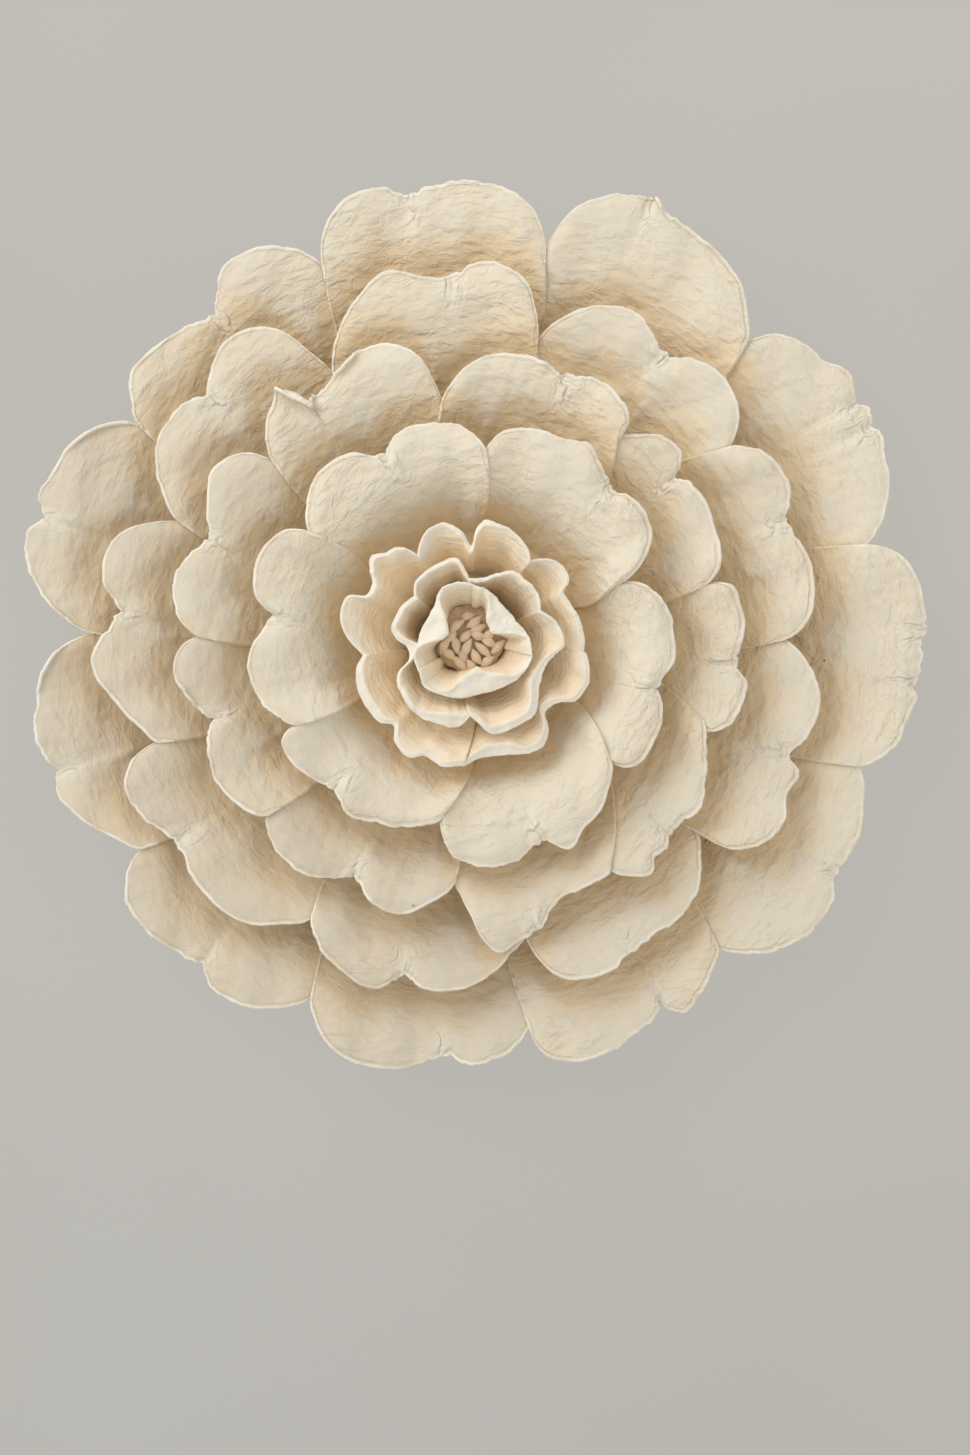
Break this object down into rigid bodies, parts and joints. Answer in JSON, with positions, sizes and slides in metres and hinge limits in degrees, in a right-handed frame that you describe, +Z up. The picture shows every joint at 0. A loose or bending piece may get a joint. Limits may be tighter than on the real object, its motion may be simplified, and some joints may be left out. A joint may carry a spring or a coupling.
{
  "type": "giant paper flower",
  "caption": "Large round wall flower of layered curved paper petals in rings around a tight bud, stacked on a card backing board with a toothed steel hanger.",
  "frame": {"origin": "centre of the backing board's back face, on the flower's axis and in the plane of the wall", "axes": "+Z up the wall, +Y from the flower into the wall, so the flower faces -Y, +X to the right as seen from the front"},
  "size_m": [0.5979, 0.134, 0.5885],
  "materials": {
    "ring_paper": "matte",
    "bud_paper": "matte",
    "pistil_paper": "matte",
    "card": "matte",
    "steel": "satin"
  },
  "bodies": {
    "root": {"outer_petal_1": "ring_paper", "outer_petal_2": "ring_paper", "outer_petal_3": "ring_paper", "outer_petal_4": "ring_paper", "outer_petal_5": "ring_paper", "outer_petal_6": "ring_paper", "outer_petal_7": "ring_paper", "outer_petal_8": "ring_paper", "outer_petal_9": "ring_paper", "outer_petal_10": "ring_paper", "outer_petal_11": "ring_paper", "third_petal_1": "ring_paper", "third_petal_2": "ring_paper", "third_petal_3": "ring_paper", "third_petal_4": "ring_paper", "third_petal_5": "ring_paper", "third_petal_6": "ring_paper", "third_petal_7": "ring_paper", "third_petal_8": "ring_paper", "third_petal_9": "ring_paper", "second_petal_1": "ring_paper", "second_petal_2": "ring_paper", "second_petal_3": "ring_paper", "second_petal_4": "ring_paper", "second_petal_5": "ring_paper", "second_petal_6": "ring_paper", "second_petal_7": "ring_paper", "second_petal_8": "ring_paper", "second_petal_9": "ring_paper", "first_petal_1": "ring_paper", "first_petal_2": "ring_paper", "first_petal_3": "ring_paper", "first_petal_4": "ring_paper", "first_petal_5": "ring_paper", "first_petal_6": "ring_paper", "outer_bud_petal_1": "bud_paper", "outer_bud_petal_2": "bud_paper", "outer_bud_petal_3": "bud_paper", "outer_bud_petal_4": "bud_paper", "outer_bud_petal_5": "bud_paper", "middle_bud_petal_1": "bud_paper", "middle_bud_petal_2": "bud_paper", "middle_bud_petal_3": "bud_paper", "middle_bud_petal_4": "bud_paper", "inner_bud_petal_1": "bud_paper", "inner_bud_petal_2": "bud_paper", "inner_bud_petal_3": "bud_paper", "pistil": "pistil_paper", "backing_board": "card", "spacer_disc_1": "card", "spacer_disc_2": "card", "spacer_disc_3": "card", "spacer_disc_4": "card", "hanger": "steel"}
  },
  "joints": []
}
